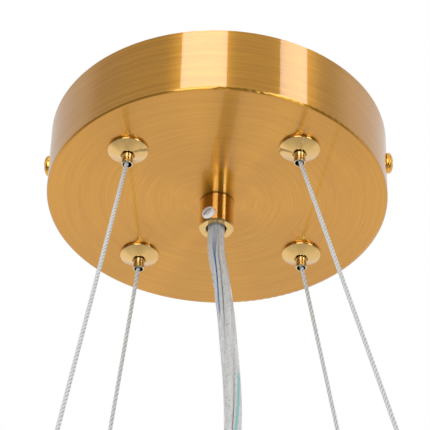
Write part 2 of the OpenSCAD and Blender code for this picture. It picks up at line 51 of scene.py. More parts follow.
# Camera, placed from the canopy's rims and the fittings on it
cameraSetup = {
    "place": (34.110 * mm, -601.217 * mm, -513.982 * mm),
    "yaw": math.radians(-3.30239),
    "pitch": math.radians(38.66931),
    "roll": math.radians(1.65263),
    "sensor": 36.0,
    "lens": 184.186,
    "clip": (0.01, 60.0),
}


def addCamera(setup):
    data = bpy.data.cameras.new("camera")
    data.sensor_fit = "HORIZONTAL"
    data.sensor_width = setup["sensor"]
    data.lens = setup["lens"]
    data.clip_start, data.clip_end = setup["clip"]
    camera = bpy.data.objects.new("camera", data)
    scene.collection.objects.link(camera)
    yaw, pitch, roll = setup["yaw"], setup["pitch"], setup["roll"]
    ahead = Vector((math.sin(yaw) * math.cos(pitch), math.cos(yaw) * math.cos(pitch), math.sin(pitch)))
    right = Vector((math.cos(yaw), -math.sin(yaw), 0.0))
    up = right.cross(ahead)
    rolledRight = right * math.cos(roll) + up * math.sin(roll)
    rolledUp = up * math.cos(roll) - right * math.sin(roll)
    axes = Matrix((rolledRight, rolledUp, -ahead)).transposed()
    camera.matrix_world = Matrix.Translation(setup["place"]) @ axes.to_4x4()
    scene.camera = camera


addCamera(cameraSetup)
print("camera placed")


# Mesh helpers
sharpEdge = 30       # degrees between two faces, above which their edge stays sharp


def addPiece(name, points, faces, maps=None, sharp=False):
    # a mesh object from points and faces; maps holds each point's place round and along it
    mesh = bpy.data.meshes.new(name)
    mesh.from_pydata(points, [], faces)
    if maps:
        layer = mesh.uv_layers.new(name="lay")
        for face in mesh.polygons:
            corners = [maps[mesh.loops[i].vertex_index] for i in face.loop_indices]
            closes = max(u for u, v in corners) - min(u for u, v in corners) > 0.5
            for i, (u, v) in zip(face.loop_indices, corners):
                layer.data[i].uv = (u + 1.0 if closes and u < 0.5 else u, v)
    tidyMesh = bmesh.new()
    tidyMesh.from_mesh(mesh)
    bmesh.ops.recalc_face_normals(tidyMesh, faces=tidyMesh.faces)
    tidyMesh.to_mesh(mesh)
    tidyMesh.free()
    for face in mesh.polygons:
        face.use_smooth = True
    if sharp:
        mesh.set_sharp_from_angle(angle=math.radians(sharpEdge))
    mesh.update()
    piece = bpy.data.objects.new(name, mesh)
    scene.collection.objects.link(piece)
    return piece


def spacedOut(points, step):
    # the same line with a point every step or so, and its old points kept
    line = [points[0]]
    for start, end in zip(points, points[1:]):
        count = max(1, round((end - start).length / step))
        line += [start.lerp(end, (i + 1) / count) for i in range(count)]
    return line


def rounded(points, step):
    # a smooth curve through the points, with a point every step or so
    ends = [points[0] * 2 - points[1]] + points + [points[-1] * 2 - points[-2]]
    line = [points[0]]
    for a, b, c, d in zip(ends, ends[1:], ends[2:], ends[3:]):
        count = max(1, round((c - b).length / step))
        for i in range(1, count + 1):
            t = i / count
            line.append(0.5 * (2 * b + (c - a) * t + (2 * a - 5 * b + 4 * c - d) * t * t
                               + (3 * b - a - 3 * c + d) * t ** 3))
    return line


def frames(line):
    # each point with its direction, two sides carried along it, and its distance from the start
    last = len(line) - 1
    ahead = [(line[min(i + 1, last)] - line[max(i - 1, 0)]).normalized() for i in range(last + 1)]
    side = ahead[0].cross(Vector((0, 1, 0)) if abs(ahead[0].y) < 0.9 else Vector((1, 0, 0))).normalized()
    run, result = 0.0, []
    for i, point in enumerate(line):
        side = (side - ahead[i] * side.dot(ahead[i])).normalized()
        run += (point - line[i - 1]).length if i else 0.0
        result.append((point, ahead[i], side, ahead[i].cross(side), run))
    return result


def sweep(stations, outline, lay=None, scales=None):
    # points, faces and maps of a closed solid: an outline of (radius, angle) carried along the stations,
    # turned once for each length of lay, and scaled at each station
    points, faces, maps, sides = [], [], [], len(outline)
    for i, (point, _, side, across, run) in enumerate(stations):
        wound = turn * run / lay if lay else 0.0
        scale = scales[i] if scales else 1.0
        for k, (radius, angle) in enumerate(outline):
            out = math.cos(angle + wound) * side + math.sin(angle + wound) * across
            points.append(point + scale * radius * out)
            maps.append((k / sides, run / mm))
    for i in range(len(stations) - 1):
        for k in range(sides):
            a, b = i * sides + k, i * sides + (k + 1) % sides
            faces.append((a, b, b + sides, a + sides))
    last = (len(stations) - 1) * sides
    faces.append(tuple(sides - 1 - k for k in range(sides)))
    faces.append(tuple(last + k for k in range(sides)))
    return points, faces, maps


def roundOutline(diameter, sides):
    return [(diameter / 2, turn * k / sides) for k in range(sides)]


def twisted(stations, radius, pitch, phase):
    # the stations of a strand that winds round the given ones, its first side facing outwards
    line = []
    for point, ahead, side, across, run in stations:
        angle = phase + turn * run / pitch
        out = math.cos(angle) * side + math.sin(angle) * across
        line.append((point + out * radius, out, run))
    result, last = [], len(line) - 1
    for i, (point, out, run) in enumerate(line):
        ahead = (line[min(i + 1, last)][0] - line[max(i - 1, 0)][0]).normalized()
        out = (out - ahead * out.dot(ahead)).normalized()
        result.append((point, ahead, out, ahead.cross(out), run))
    return result


def softened(corners, steps=4):
    # a turned part's outline, (radius, height, rounding) in millimetres, with arcs at its rounded corners
    outline = []
    for i, (radius, height, rounding) in enumerate(corners):
        here = Vector((radius, height))
        if not rounding:
            outline.append((radius, height, 0.0))
            continue
        before = (Vector(corners[i - 1][:2]) - here).normalized()
        after = (Vector(corners[(i + 1) % len(corners)][:2]) - here).normalized()
        half = before.angle(after) / 2
        middle = here + (before + after).normalized() * (rounding / math.sin(half))
        start = here + before * (rounding / math.tan(half)) - middle
        end = here + after * (rounding / math.tan(half)) - middle
        for k in range(steps + 1):
            spot = middle + start.lerp(end, k / steps).normalized() * rounding
            outline.append((spot.x, spot.y, 0.0))
    return outline


threadForm = {
    "rows": 8,           # rows of points to one turn of a thread
    "runOut": 1.0,       # millimetres over which it fades at its ends
    "flank": 1.3,        # how steep its flanks are
    "crest": 0.15,       # how broad its crests are
}


def threadRows(radius, start, end, pitch):
    # rows of a threaded stretch, with the share of the thread's depth that each has
    count = max(2, round(abs(end - start) / pitch * threadForm["rows"]))
    rows = []
    for i in range(1, count):
        height = start + (end - start) * i / count
        toEnd = min(abs(height - start), abs(end - height))
        rows.append((radius, height, min(1.0, toEnd / threadForm["runOut"])))
    return rows


def turned(name, rows, sides, pitch, depth=0.55, place=None):
    # a solid of revolution about Z from rows of (radius, height, share of thread), closed on itself
    points, faces, rings = [], [], []
    for radius, height, share in rows:
        if radius == 0:
            rings.append([len(points)])
            points.append(Vector((0, 0, height)) * mm)
            continue
        rings.append([len(points) + k for k in range(sides)])
        for k in range(sides):
            phase = (height / pitch - k / sides) % 1.0
            valley = min(1.0, max(0.0, abs(2 * phase - 1) * threadForm["flank"] - threadForm["crest"]))
            cut = radius - share * depth * valley
            angle = turn * k / sides
            points.append(Vector((cut * math.cos(angle), cut * math.sin(angle), height)) * mm)
    for first, second in zip(rings, rings[1:] + rings[:1]):
        if len(first) == 1 and len(second) == 1:
            continue
        for k in range(sides):
            corners = [first[k % len(first)], first[(k + 1) % len(first)],
                       second[(k + 1) % len(second)], second[k % len(second)]]
            faces.append(tuple(dict.fromkeys(corners)))
    if place:
        points = [place @ point for point in points]
    return addPiece(name, points, faces, sharp=True)


def cutAway(piece, tools):
    # take the tools' shapes out of a piece
    for tool in tools:
        cutter = piece.modifiers.new("cut", "BOOLEAN")
        cutter.operation, cutter.solver, cutter.object = "DIFFERENCE", "EXACT", tool
    ready = piece.evaluated_get(bpy.context.evaluated_depsgraph_get())
    mesh = bpy.data.meshes.new_from_object(ready)
    piece.modifiers.clear()
    piece.data = mesh
    mesh.set_sharp_from_angle(angle=math.radians(sharpEdge))
    for tool in tools:
        bpy.data.objects.remove(tool)


def addBlade(name, size, place, taper=0.2):
    # a tapered block that cuts a slot: length, width and depth in millimetres, narrower at its foot
    length, width, depth = size
    points = []
    for height, share in ((-depth, 1 - taper), (depth, 1 + taper)):
        for x, y in ((-1, -1), (1, -1), (1, 1), (-1, 1)):
            points.append(place @ (Vector((x * length / 2 * share, y * width / 2 * share, height)) * mm))
    faces = [(3, 2, 1, 0), (4, 5, 6, 7), (0, 1, 5, 4), (1, 2, 6, 5), (2, 3, 7, 6), (3, 0, 4, 7)]
    return addPiece(name, points, faces, sharp=True)


# The four suspension wires: six steel strands laid round a seventh
wire = {
    "diameter": 1.5 * mm,
    "lay": 5.5 * mm,          # length of one turn of a strand
    "strands": 6,
    "step": 0.5 * mm,
    "offsets": (-30, -22, -12, 0, 12, 22),   # outline points, in degrees from each strand's crown
}
grippers = {
    # corner: signs, slope per millimetre of drop, wire from the gripper's mouth to its anchor
    "front_left": ((-1, -1), (-0.09, -0.26),
                   (-0.029415, -0.029548, -0.032392), (-0.044500, -0.073126, -0.200)),
    "front_right": ((1, -1), (0.215, -0.26),
                    (0.029546, -0.029588, -0.032718), (0.065511, -0.073081, -0.200)),
    "rear_left": ((-1, 1), (-0.14, 0.26),
                  (-0.029461, 0.029561, -0.032499), (-0.052911, 0.073111, -0.200)),
    "rear_right": ((1, 1), (0.205, 0.26),
                   (0.029533, 0.029584, -0.032686), (0.063833, 0.073085, -0.200)),
}
gripperPlace = {
    "across": 29.345 * mm,    # each gripper's axis from the middle, along X and along Y
    "floor": -26.5 * mm,      # the canopy's underside
    "tail": 9 * mm,           # spare wire above the cap
    "tailBend": 4 * mm,
    "tailHeight": 18.5 * mm,
    "mouthBend": 6 * mm,
    "mouthHeight": -4.3 * mm,
}
looks = {}     # each new piece's name and its finish


def declare(piece, slot, nodes=(), look=None):
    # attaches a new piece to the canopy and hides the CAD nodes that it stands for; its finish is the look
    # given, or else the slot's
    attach(piece, "canopy")
    if nodes:
        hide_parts(*nodes)
    looks[piece.name] = look or slot
    return piece


def gripperMiddle(corner):
    # where a gripper's axis meets the canopy's underside
    signs, across = grippers[corner][0], gripperPlace["across"]
    return Vector((signs[0] * across, signs[1] * across, gripperPlace["floor"]))


def lobedOutline(settings):
    # the outline of strands that lie round a middle one, as (radius, angle)
    strand = settings["diameter"] / 6        # a strand's radius
    outline = []
    for k in range(settings["strands"]):
        for offset in settings["offsets"]:
            angle = math.radians(offset)
            reach = 2 * strand * math.cos(angle)
            # the last term keeps the root real where two strands touch
            reach += math.sqrt(strand ** 2 - (2 * strand * math.sin(angle)) ** 2 + 1e-12)
            outline.append((reach, turn * k / settings["strands"] + angle))
    return outline


def heldLine(corner):
    # the wire from its tail's tip down to the mouth, where the free wire starts
    signs, lean = grippers[corner][:2]
    place = gripperPlace
    bend, height = place["tailBend"], place["tailHeight"]
    line = [Vector((0, signs[1] * (bend + place["tail"]), height + bend))]
    for degrees in range(90, -1, -6):
        angle = math.radians(degrees)
        line.append(Vector((0, signs[1] * bend * (1 - math.cos(angle)), height + bend * math.sin(angle))))
    tilt, heading = math.atan(math.hypot(*lean)), math.atan2(lean[1], lean[0])
    for share in (0, 0.25, 0.5, 0.75, 1):
        angle = tilt * share
        out = place["mouthBend"] * (1 - math.cos(angle))
        line.append(Vector((out * math.cos(heading), out * math.sin(heading),
                            place["mouthHeight"] - place["mouthBend"] * math.sin(angle))))
    return [gripperMiddle(corner) + point for point in line]


def addWire(corner):
    top, low = Vector(grippers[corner][2]), Vector(grippers[corner][3])
    held = spacedOut(heldLine(corner), wire["step"])
    free = spacedOut([top, low], wire["step"])
    stations = frames(held + free[1:])
    outline = lobedOutline(wire)
    heldWire = addPiece(f"{corner}_held_wire", *sweep(stations[:len(held)], outline, wire["lay"]))
    freeWire = addPiece(f"{corner}_free_wire", *sweep(stations[len(held) - 1:], outline, wire["lay"]))
    declare(heldWire, "steel_wire", [f"{corner}_wire_in_gripper"])
    declare(freeWire, "steel_wire", [f"{corner}_suspension_wire"])


for corner in grippers:
    addWire(corner)

# The supply cord: a clear sheath, with three twisted cores inside it
cord = {
    "diameter": 6 * mm,
    "sides": 32,              # of the sheath's outline
    "step": 1.2 * mm,
    "top": -18 * mm,          # where the sheath is cut back, above the nipple
    "exit": (0, 0, -38.5 * mm),
    "coreDiameter": 2.35 * mm,
    "bareDiameter": 1.8 * mm,  # of a core inside the cup
    "slimOver": 14 * mm,      # the cores fill out over this length below the sheath's top
    "coreRing": 1.4 * mm,     # the cores' distance from the cord's axis
    "twist": 170 * mm,        # length of one turn
    "coreSides": 16,
    "coreStep": 1.5 * mm,
    "cupStep": 0.5 * mm,      # of the cores inside the cup
    "coreDrop": 0.1 * mm,     # from the sheath's top to the cores' ends
    # each core's place at the exit, in degrees from the front to the right
    "phases": {"neutral": -7, "earth": -127, "live": 113},
}
cordRoute = [Vector(point) * mm for point in [
    (0, 0, -38.5), (0, 0, -43.5), (0.5, 0, -50.5), (1.9, 0, -58.5), (3.1, 0, -67.5), (4.3, 0, -77.5),
    (5.3, 0, -88.5), (6.3, 0, -99.5), (7, 0, -110.5), (7.3, 0, -122.5), (7.5, 0, -134.5),
    (7.6, 0, -147.5), (7.6, 0, -160.5), (7.5, 0, -175), (7.5, 0, -190)]]
cupRoutes = {
    # each core inside the cup, from below the sheath's top to its terminal, in millimetres
    "live": [(0.8, 1.4, -14), (1.6, 2.1, -11), (3.3, 3.1, -8.6), (5.6, 4, -7.3), (8, 4.5, -7),
             (12.6, 4.5, -7)],
    "neutral": [(0.8, -1.4, -14), (1.6, -2.1, -11), (3.3, -3.1, -8.6), (5.6, -4, -7.3), (8, -4.5, -7),
                (12.6, -4.5, -7)],
    "earth": [(-1.6, 0, -14), (-2.8, 0, -10.4), (-5, 0, -7.6), (-8.2, 0, -5.8), (-13.5, 0, -5.1),
              (-17.7, 0, -5.1)],
}
coreSlots = {"live": "brown_core", "neutral": "blue_core", "earth": "green_yellow_core"}


def addCord():
    top = Vector((0, 0, cord["top"]))
    coreTop = top - Vector((0, 0, cord["coreDrop"]))
    line = spacedOut([top, cordRoute[0]], cord["step"])[:-1] + rounded(cordRoute, cord["step"])
    outline = roundOutline(cord["diameter"], cord["sides"])
    sheath = addPiece("supply_cord_sheath", *sweep(frames(line), outline))
    declare(sheath, "clear_pvc", ["supply_cord", "cord_in_grip"])
    coreLine = spacedOut([coreTop, cordRoute[0]], cord["coreStep"])[:-1]
    coreLine += rounded(cordRoute, cord["coreStep"])[:-1]
    stations = frames(coreLine)
    atExit = next(station for station in stations if station[0].z <= cord["exit"][2] + cord["coreDrop"])
    slim = cord["bareDiameter"] / cord["coreDiameter"]
    scales = [min(1.0, slim + (1 - slim) * station[4] / cord["slimOver"]) for station in stations]
    outline = roundOutline(cord["coreDiameter"], cord["coreSides"])
    bareOutline = roundOutline(cord["bareDiameter"], cord["coreSides"])
    for name, degrees in cord["phases"].items():
        facing = math.radians(degrees)
        want = Vector((math.sin(facing), -math.cos(facing), 0))
        phase = math.atan2(want.dot(atExit[3]), want.dot(atExit[2])) - turn * atExit[4] / cord["twist"]
        laid = twisted(stations, cord["coreRing"], cord["twist"], phase)
        core = addPiece(f"{name}_core_in_cord", *sweep(laid, outline, scales=scales))
        declare(core, "clear_pvc", look=f"{name}_core")
        route = [laid[0][0]] + [Vector(point) * mm for point in cupRoutes[name]]
        bare = sweep(frames(rounded(route, cord["cupStep"])), bareOutline)
        declare(addPiece(f"{name}_core_in_cup", *bare), coreSlots[name], [f"{name}_core"], f"{name}_core")
    length = sum((b - a).length for a, b in zip(line, line[1:]))


addCord()
print("wires and cord made:", len(looks), "pieces")

# Turned parts with threads, soft edges and recesses; all sizes in millimetres
gripperBody = {
    "sides": 72,
    "thread": (4.97, 0.0, 17.6, 1.0),        # radius, start, end and pitch
    # radius, height and rounding of each corner
    "profile": [(4.97, 0, 0), (4.97, 17.6, 0), (4.57, 18, 0), (3.91, 18, 0), (3.91, 15.5, 0),
                (3.46, 15.5, 0), (3.46, 8.986, 0), (2.06, 2.4, 0), (2.06, -1.5, 0), (2.45, -1.5, 0),
                (2.45, -2.7, 0.06), (2.7, -2.7, 0.1), (7, -0.8, 0.28), (7, 0, 0.05)],
}
nipple = {
    "sides": 72,
    "thread": (4.97, -31.4, -19.9, 1.0),
    "profile": [(4.97, -31.4, 0), (4.97, -19.9, 0), (4.57, -19.5, 0), (3.7, -19.5, 0), (3.5, -19.7, 0),
                (3.5, -31.6, 0), (3.7, -31.8, 0), (4.57, -31.8, 0)],
}
sideScrew = {
    "sides": 48,
    "across": 60.0,                          # from the middle to the head's seat
    "drop": 9.0,
    "thread": (1.97, -7.8, -0.3, 0.7),
    "threadDepth": 0.4,
    "profile": [(0, -8.12), (1.65, -8.12), (1.97, -7.8)],
    "head": (3.7, 2.4, 0.8),                 # radius, height, height of its straight rim
    "edge": 0.15,                            # bevel of the head's seat
    "recess": (4.4, 1.05, 1.3),              # length, width and depth of each arm of the cross
    "recessTurns": (45, 135),
}
nylonScrew = {
    "sides": 48,
    "turn": -115.0,                          # degrees from the right, towards the front
    "reach": 3.03,                           # its tip from the cord's axis
    "height": -35.3,
    "length": 4.17,
    "thread": (2.47, 0.35, 2.7, 0.8),
    "threadDepth": 0.4,
    "profile": [(0, 0), (2.1, 0), (2.47, 0.35)],
    "edge": 1.1,                             # rounding of its outer end
    "crown": 0.25,
    "slot": (6.0, 0.62, 0.9),                # its length, width and depth
    "slotTurn": 125.0,
}
spring = {
    "wire": 0.4,
    "radius": 2.55,                          # of its wire's middle line
    "turns": 5,
    "low": 9.736,                            # its lowest and highest point, above the skirt's top
    "high": 15.25,
    "seat": 15.5,                            # the cap that it pushes against
    "travel": 2.0,                           # how far a plunger shortens it
    "steps": 24,                             # points to a turn
    "sides": 10,
}


def plainRows(points):
    return [(radius, height, 0.0) for radius, height in points]


def addGripperBody(corner):
    outline = softened(gripperBody["profile"])
    rows = outline[:1] + threadRows(*gripperBody["thread"]) + outline[1:]
    body = turned(f"{corner}_turned_body", rows, gripperBody["sides"], gripperBody["thread"][3],
                  place=Matrix.Translation(gripperMiddle(corner)))
    declare(body, "polished_brass", [f"{corner}_gripper_body"])


def addSpring(corner):
    # an evenly wound coil, from its lowest to its highest point
    middle = gripperMiddle(corner)
    low, high, seat = spring["low"], spring["high"], spring["seat"]
    steps, line = spring["turns"] * spring["steps"], []
    for i in range(steps + 1):
        angle = turn * i / spring["steps"]
        spot = Vector((spring["radius"] * math.cos(angle), spring["radius"] * math.sin(angle),
                       low + (high - low) * i / steps))
        line.append(middle + spot * mm)
    outline = roundOutline(spring["wire"] * mm, spring["sides"])
    coil = addPiece(f"{corner}_coil_spring", *sweep(frames(line), outline))
    declare(coil, "steel_wire", [f"{corner}_gripper_spring"], "spring_steel")
    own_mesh(coil)


def addNipple():
    outline = softened(nipple["profile"])
    rows = outline[:1] + threadRows(*nipple["thread"]) + outline[1:]
    tube = turned("threaded_nipple", rows, nipple["sides"], nipple["thread"][3])
    declare(tube, "zinc_steel", ["cord_nipple"])


def addSideScrew(side, word):
    radius, height, rim = sideScrew["head"]
    shank, _, threadEnd, pitch = sideScrew["thread"]
    edge = sideScrew["edge"]
    rows = plainRows(sideScrew["profile"]) + threadRows(*sideScrew["thread"])
    rows += plainRows([(shank, threadEnd), (shank, 0), (radius - edge, 0), (radius, edge), (radius, rim)])
    for degrees in range(10, 81, 10):
        angle = math.radians(degrees)
        rows += plainRows([(radius * math.cos(angle), rim + (height - rim) * math.sin(angle))])
    rows += plainRows([(0, height)])
    place = Matrix.Translation((side * sideScrew["across"] * mm, 0, -sideScrew["drop"] * mm))
    place = place @ Matrix.Rotation(side * math.pi / 2, 4, "Y")
    screw = turned(f"domed_screw_{word}", rows, sideScrew["sides"], pitch, sideScrew["threadDepth"], place)
    crown = place @ Matrix.Translation((0, 0, height * mm))
    blades = []
    for degrees in sideScrew["recessTurns"]:
        arm = crown @ Matrix.Rotation(math.radians(degrees), 4, "Z")
        blades.append(addBlade(f"cross_arm_{degrees}", sideScrew["recess"], arm))
    cutAway(screw, blades)
    declare(screw, "polished_brass", [f"side_screw_{word}"], "golden_screw")


def addNylonScrew():
    length, edge, crown = nylonScrew["length"], nylonScrew["edge"], nylonScrew["crown"]
    radius, pitch = nylonScrew["thread"][0], nylonScrew["thread"][3]
    rows = plainRows(nylonScrew["profile"]) + threadRows(*nylonScrew["thread"])
    for degrees in range(0, 91, 10):
        angle = math.radians(degrees)
        rows += plainRows([(radius - edge + edge * math.cos(angle),
                            length - crown - edge + edge * math.sin(angle))])
    rows += plainRows([(0, length)])
    facing = Matrix.Rotation(math.radians(nylonScrew["turn"]), 4, "Z")
    place = facing @ Matrix.Translation((nylonScrew["reach"] * mm, 0, nylonScrew["height"] * mm))
    place = place @ Matrix.Rotation(math.pi / 2, 4, "Y")
    screw = turned("nylon_grub_screw", rows, nylonScrew["sides"], pitch, nylonScrew["threadDepth"], place)
    slotPlace = place @ Matrix.Translation((0, 0, length * mm))
    slotPlace = slotPlace @ Matrix.Rotation(math.radians(nylonScrew["slotTurn"]), 4, "Z")
    cutAway(screw, [addBlade("screw_slot", nylonScrew["slot"], slotPlace)])
    declare(screw, "clear_nylon", ["cord_grip_screw"])


for corner in grippers:
    addGripperBody(corner)
    addSpring(corner)
addNipple()
addSideScrew(-1, "left")
addSideScrew(1, "right")
addNylonScrew()
print("turned parts made:", len(looks), "pieces so far")


# Shader helpers
class Value:
    # a socket of a finish's node tree: an expression on it adds the Math nodes
    def __init__(self, finish, socket):
        self.finish, self.socket = finish, socket

    def __add__(self, other):
        return self.finish.maths("ADD", self, other)

    def __radd__(self, other):
        return self.finish.maths("ADD", other, self)

    def __sub__(self, other):
        return self.finish.maths("SUBTRACT", self, other)

    def __rsub__(self, other):
        return self.finish.maths("SUBTRACT", other, self)

    def __mul__(self, other):
        return self.finish.maths("MULTIPLY", self, other)

    def __rmul__(self, other):
        return self.finish.maths("MULTIPLY", other, self)

    def __truediv__(self, other):
        return self.finish.maths("DIVIDE", self, other)

    def __rtruediv__(self, other):
        return self.finish.maths("DIVIDE", other, self)

    def __pow__(self, other):
        return self.finish.maths("POWER", self, other)


class Finish:
    # a material's or the world's node tree that is being put together
    def __init__(self, owner):
        owner.use_nodes = True
        self.owner, self.tree = owner, owner.node_tree
        self.tree.nodes.clear()

    def node(self, kind, settings=None, values=None, out=0):
        # kind of node, its settings, then the values or links of its sockets
        made = self.tree.nodes.new(kind)
        for name, setting in (settings or {}).items():
            setattr(made, name, setting)
        for name, value in (values or {}).items():
            if isinstance(value, Value):
                self.tree.links.new(value.socket, made.inputs[name])
            else:
                made.inputs[name].default_value = value
        if isinstance(out, tuple):
            return [Value(self, made.outputs[name]) for name in out]
        return Value(self, made.outputs[out]) if len(made.outputs) else None

    def maths(self, operation, *values):
        return self.node("ShaderNodeMath", {"operation": operation}, dict(enumerate(values)))

    def mixed(self, share, first, second):
        # a colour, from first at share 0 to second at share 1
        return self.node("ShaderNodeMix", {"data_type": "RGBA"}, {0: share, 6: first, 7: second}, out=2)

    def noise(self, place, scale, detail=2.0, roughness=0.5):
        return self.node("ShaderNodeTexNoise", None,
                         {"Vector": place, "Scale": scale, "Detail": detail, "Roughness": roughness})

    def between(self, value, low, high, toLow=0.0, toHigh=1.0):
        # toLow up to low, toHigh from high on, and a smooth step in the middle
        return self.node("ShaderNodeMapRange", {"clamp": True, "interpolation_type": "SMOOTHSTEP"},
                         {0: value, 1: low, 2: high, 3: toLow, 4: toHigh})

    def place(self, which="Object"):
        return self.node("ShaderNodeTexCoord", out=which)

    def laid(self):
        # a swept piece's own map: once round it, and millimetres along it
        return self.split(self.node("ShaderNodeUVMap", {"uv_map": "lay"}))

    def split(self, vector):
        return self.node("ShaderNodeSeparateXYZ", None, {0: vector}, out=(0, 1, 2))

    def joined(self, x, y, z):
        return self.node("ShaderNodeCombineXYZ", None, {0: x, 1: y, 2: z})

    def vector(self, operation, *values, out=0):
        return self.node("ShaderNodeVectorMath", {"operation": operation}, dict(enumerate(values)), out)

    def bump(self, height, strength, distance):
        return self.node("ShaderNodeBump", None,
                         {"Height": height, "Strength": strength, "Distance": distance})

    def circle(self, angle, reach, along):
        # a point on a circle, so that noise on it meets itself once round
        return self.joined(self.maths("COSINE", angle) * reach, self.maths("SINE", angle) * reach, along)

    def surface(self, values):
        shader = self.node("ShaderNodeBsdfPrincipled", None, values)
        self.node("ShaderNodeOutputMaterial", None, {"Surface": shader})
        return self.owner


def colour(code):
    # a hex colour as linear light
    parts = [int(code[i:i + 2], 16) / 255 for i in (1, 3, 5)]
    return tuple(p / 12.92 if p <= 0.04045 else ((p + 0.055) / 1.055) ** 2.4 for p in parts) + (1.0,)


def newFinish(name):
    return Finish(bpy.data.materials.new(name))


# Floor, daylight and lamps
studio = {
    "floorHeight": -2.5,
    "floorSize": 14.0,
    "floorColours": ("#ececec", "#f4f4f4"),
    "floorGrain": 3.0,
    "floorRoughness": 0.9,
    "plainLight": 0.82,                # strength of the daylight on the object
    "upper": (0.77, 0.65),             # what the metal mirrors above the horizon, in front and behind
    "upperFade": (-1.0, 1.0),          # between which it changes, from front to back
    "upperSides": (1.0, 1.13),         # its share on the left and on the right
    "upperSidesFade": (-0.4, 0.25),
    "lower": (0.13, 0.94),             # the same below the horizon
    "lowerFade": (-0.1, 0.6),
    "lowerSides": (1.0, 0.9),
    "lowerSidesFade": (-1.0, 1.0),
    "horizon": 0.17,
    "nadir": (-0.97, -0.72),           # where the floor straight below lights up
    "nadirShare": 0.38,
    "belt": (0.6, 0.74),               # heights of the darker belt that the lamps hang in
    "beltEdge": 0.06,
    "beltShare": 0.45,
    "beltFade": (-0.1, 0.2),           # it ends towards the back
    "panel": 3.4,                      # the lamps' middles, which only the cup's edge mirrors
    "panelTurns": ((-24.5, 7.5), (42.0, 62.0)),
    "panelEdge": (2.0, 1.0),           # degrees outside and inside a panel's side
    "panelHeights": (-0.5, 0.0),
    "panelFades": (0.05, 0.2),
    "lampReach": 1.6,                  # metres from the canopy's axis
}
lamps = {
    # degrees from the front, lowest and highest edge and width in metres, watts, tint
    "wide_upper_lamp": {"turn": -7.9, "edges": (1.29, 1.53), "width": 0.87, "power": 3.8,
                        "tint": (1.0, 0.99, 1.0)},
    "narrow_upper_lamp": {"turn": 53.4, "edges": (1.29, 1.48), "width": 0.56, "power": 1.55,
                          "tint": (1.0, 0.99, 1.0)},
    "wide_lower_lamp": {"turn": -7.9, "edges": (-1.37, -1.24), "width": 0.87, "power": 3.1,
                        "tint": (0.76, 1.0, 1.0)},
    "narrow_lower_lamp": {"turn": 52.6, "edges": (-1.37, -1.24), "width": 0.56, "power": 2.7,
                          "tint": (0.76, 1.0, 1.0)},
}


def addFloor():
    half = studio["floorSize"] / 2
    height = studio["floorHeight"]
    floor = addPiece("floor", [(-half, -half, height), (half, -half, height), (half, half, height),
                               (-half, half, height)], [(0, 1, 2, 3)])
    finish = newFinish("floor_paper")
    grain = finish.noise(finish.place(), studio["floorGrain"], 3.0)
    floor.data.materials.append(finish.surface({
        "Base Color": finish.mixed(grain, *[colour(code) for code in studio["floorColours"]]),
        "Roughness": studio["floorRoughness"],
    }))
    floor.visible_glossy = False


def addDaylight():
    world = bpy.data.worlds.new("daylight")
    scene.world = world
    sky = Finish(world)
    camera, glossy, through = sky.node("ShaderNodeLightPath",
                                       out=("Is Camera Ray", "Is Glossy Ray", "Is Transmission Ray"))
    x, y, z = sky.split(sky.place("Generated"))
    upper = sky.between(y, *studio["upperFade"], *studio["upper"])
    upper = upper * sky.between(x, *studio["upperSidesFade"], *studio["upperSides"])
    lower = sky.between(y, *studio["lowerFade"], *studio["lower"])
    lower = lower * sky.between(x, *studio["lowerSidesFade"], *studio["lowerSides"])
    lower = lower + sky.between(z, *studio["nadir"], studio["nadirShare"], 0.0)
    (low, high), edge = studio["belt"], studio["beltEdge"]
    belt = sky.between(z, low - edge, low) * sky.between(z, high, high + edge, 1.0, 0.0)
    upper = upper * (1.0 - belt * studio["beltShare"] * sky.between(y, *studio["beltFade"], 1.0, 0.0))
    level = lower + (upper - lower) * sky.between(z, -studio["horizon"], studio["horizon"])
    facing = sky.maths("ARCTAN2", x, 0.0 - y) * (360 / turn)
    (low, high), (under, over) = studio["panelHeights"], studio["panelFades"]
    standing = sky.between(z, low - under, low) * sky.between(z, high, high + over, 1.0, 0.0)
    outside, inside = studio["panelEdge"]
    for left, right in studio["panelTurns"]:
        panel = sky.between(facing, left - outside, left + inside)
        panel = panel * sky.between(facing, right - inside, right + outside, 1.0, 0.0)
        level = level + panel * standing * studio["panel"]
    white = (1.0, 1.0, 1.0, 1.0)
    plain = (studio["plainLight"],) * 3 + (1.0,)
    light = sky.mixed(glossy, plain, sky.joined(level, level, level))
    light = sky.mixed(through, light, white)
    light = sky.mixed(camera, light, white)
    background = sky.node("ShaderNodeBackground", None, {"Color": light, "Strength": 1.0})
    sky.node("ShaderNodeOutputWorld", None, {"Surface": background})


def addLamp(name, lamp):
    low, high = lamp["edges"]
    data = bpy.data.lights.new(name, "AREA")
    data.shape = "RECTANGLE"
    data.size, data.size_y = lamp["width"], high - low
    data.energy, data.color = lamp["power"], lamp["tint"]
    light = bpy.data.objects.new(name, data)
    scene.collection.objects.link(light)
    angle, reach = math.radians(lamp["turn"]), studio["lampReach"]
    light.location = (reach * math.sin(angle), -reach * math.cos(angle), (low + high) / 2)
    light.rotation_euler = (math.pi / 2, 0, angle)
    light.visible_camera = False


addFloor()
addDaylight()
for name, lamp in lamps.items():
    addLamp(name, lamp)
scene.view_settings.view_transform = "Standard"
print("studio built")

